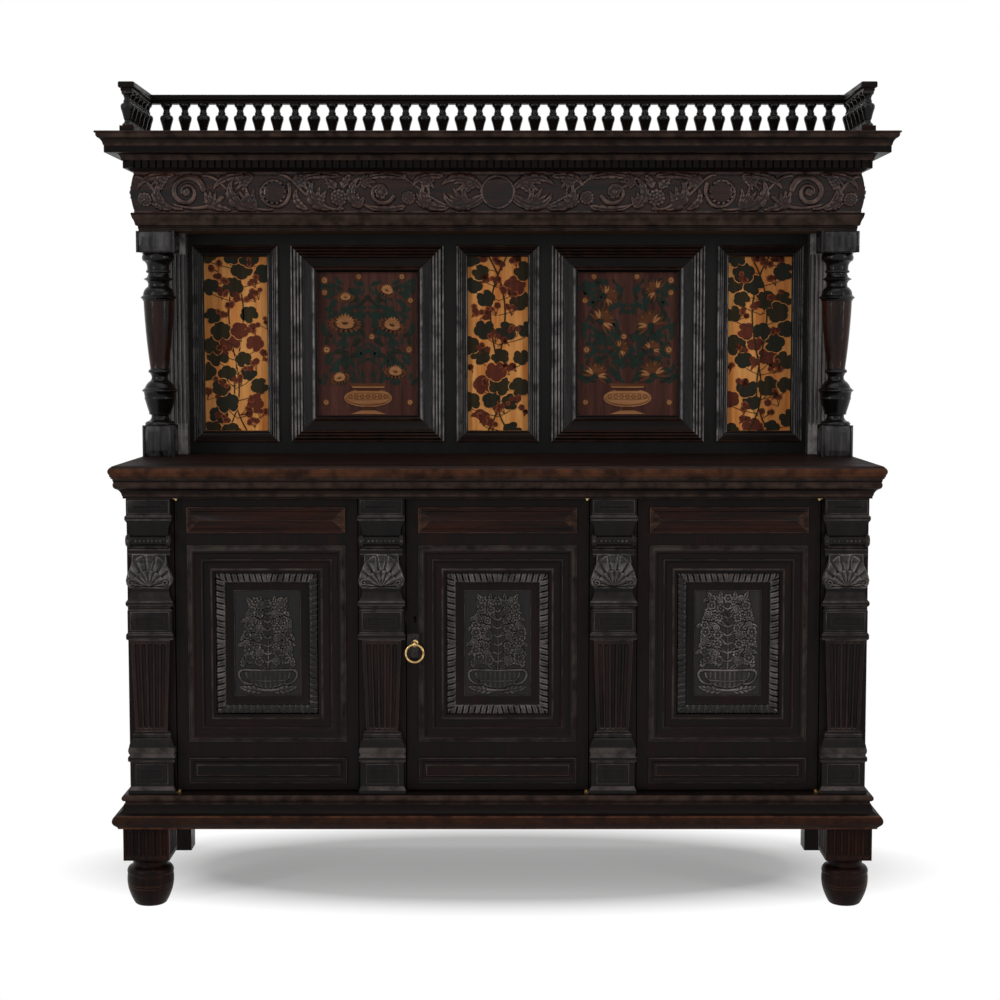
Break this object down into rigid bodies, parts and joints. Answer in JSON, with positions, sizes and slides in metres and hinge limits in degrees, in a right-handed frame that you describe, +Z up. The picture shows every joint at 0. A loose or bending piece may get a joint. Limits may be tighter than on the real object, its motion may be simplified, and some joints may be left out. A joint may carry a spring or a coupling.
{
  "type": "court cupboard",
  "caption": "Oak sideboard cupboard with carved doors, fluted pilasters and a set-back upper stage of turned columns, inlaid panels, carved frieze, dentil cornice and balustered gallery.",
  "frame": {"origin": "on the floor, under the middle of the whole object's box", "axes": "+Z up, -Y out of the front, +X to the right as seen from the front"},
  "size_m": [1.738, 0.55, 1.746],
  "materials": {
    "ebonised_oak": "ebonised oak, satin varnish, worn to red-brown on edges",
    "plain_oak": "stained oak, unpolished",
    "light_marquetry": "amber veneer inlaid with dark leaves, varnished",
    "dark_marquetry": "dark veneer inlaid with leaves and flowers, varnished",
    "brass": "old polished brass",
    "lock_iron": "dull iron"
  },
  "bodies": {
    "carcase": {"front_feet": "ebonised_oak", "rear_feet": "ebonised_oak", "base_moulding": "ebonised_oak", "front_rails": "ebonised_oak", "front_stiles": "ebonised_oak", "right_side_frame": "ebonised_oak", "left_side_frame": "ebonised_oak", "side_panels": "ebonised_oak", "carcase_bottom": "plain_oak", "lower_back_boards": "plain_oak", "shelf": "plain_oak", "shelf_cleats": "plain_oak", "crown_moulding": "ebonised_oak", "sideboard_top": "ebonised_oak", "corner_pilasters": "ebonised_oak", "centre_pilasters": "ebonised_oak", "pivot_sockets": "brass", "strike_plate": "brass", "columns": "ebonised_oak", "upper_back_frame": "ebonised_oak", "narrow_panels": "light_marquetry", "large_panels": "dark_marquetry", "narrow_panel_mouldings": "ebonised_oak", "large_panel_mouldings": "ebonised_oak", "back_responds": "ebonised_oak", "cornice_box": "plain_oak", "architrave_moulding": "ebonised_oak", "frieze": "ebonised_oak", "dentil_course": "ebonised_oak", "cornice_moulding": "ebonised_oak", "gallery_base_rails": "ebonised_oak", "gallery_balusters": "ebonised_oak", "gallery_cap_rails": "ebonised_oak"},
    "left_door": {"left_door_frame": "ebonised_oak", "left_door_moulding": "ebonised_oak", "left_door_carved_frame": "ebonised_oak", "left_door_carved_panel": "ebonised_oak", "left_door_small_panels": "ebonised_oak", "left_door_pivots": "brass", "left_bolt_guides": "brass"},
    "centre_door": {"centre_door_frame": "ebonised_oak", "centre_door_moulding": "ebonised_oak", "centre_door_carved_frame": "ebonised_oak", "centre_door_carved_panel": "ebonised_oak", "centre_door_small_panels": "ebonised_oak", "centre_door_pivots": "brass", "lock_case": "lock_iron", "pull_plate": "brass"},
    "right_door": {"right_door_frame": "ebonised_oak", "right_door_moulding": "ebonised_oak", "right_door_carved_frame": "ebonised_oak", "right_door_carved_panel": "ebonised_oak", "right_door_small_panels": "ebonised_oak", "right_door_pivots": "brass", "right_bolt_guides": "brass"},
    "ring_pull": {"ring_pull": "brass"},
    "lock_bolt": {"lock_bolt": "lock_iron"},
    "left_bolt": {"left_bolt": "brass"},
    "right_bolt": {"right_bolt": "brass"}
  },
  "joints": [
    {"name": "left_door_hinge", "type": "hinge", "parent": "carcase", "child": "left_door", "pos_m": [-0.669, -0.225, 0.55], "axis": [0, 0, -1], "range_deg": [0, 90]},
    {"name": "centre_door_hinge", "type": "hinge", "parent": "carcase", "child": "centre_door", "pos_m": [0.187, -0.225, 0.55], "axis": [0, 0, 1], "range_deg": [0, 90]},
    {"name": "right_door_hinge", "type": "hinge", "parent": "carcase", "child": "right_door", "pos_m": [0.669, -0.225, 0.55], "axis": [0, 0, 1], "range_deg": [0, 90]},
    {"name": "ring_swing", "type": "hinge", "parent": "centre_door", "child": "ring_pull", "pos_m": [-0.173, -0.237, 0.556], "axis": [-1, 0, 0], "range_deg": [-5, 110]},
    {"name": "lock_bolt_throw", "type": "slide", "parent": "centre_door", "child": "lock_bolt", "axis": [-1, 0, 0], "range_m": [0, 0.012]},
    {"name": "left_bolt_slide", "type": "slide", "parent": "left_door", "child": "left_bolt", "axis": [0, 0, 1], "range_m": [0, 0.014]},
    {"name": "right_bolt_slide", "type": "slide", "parent": "right_door", "child": "right_bolt", "axis": [0, 0, 1], "range_m": [0, 0.014]}
  ]
}
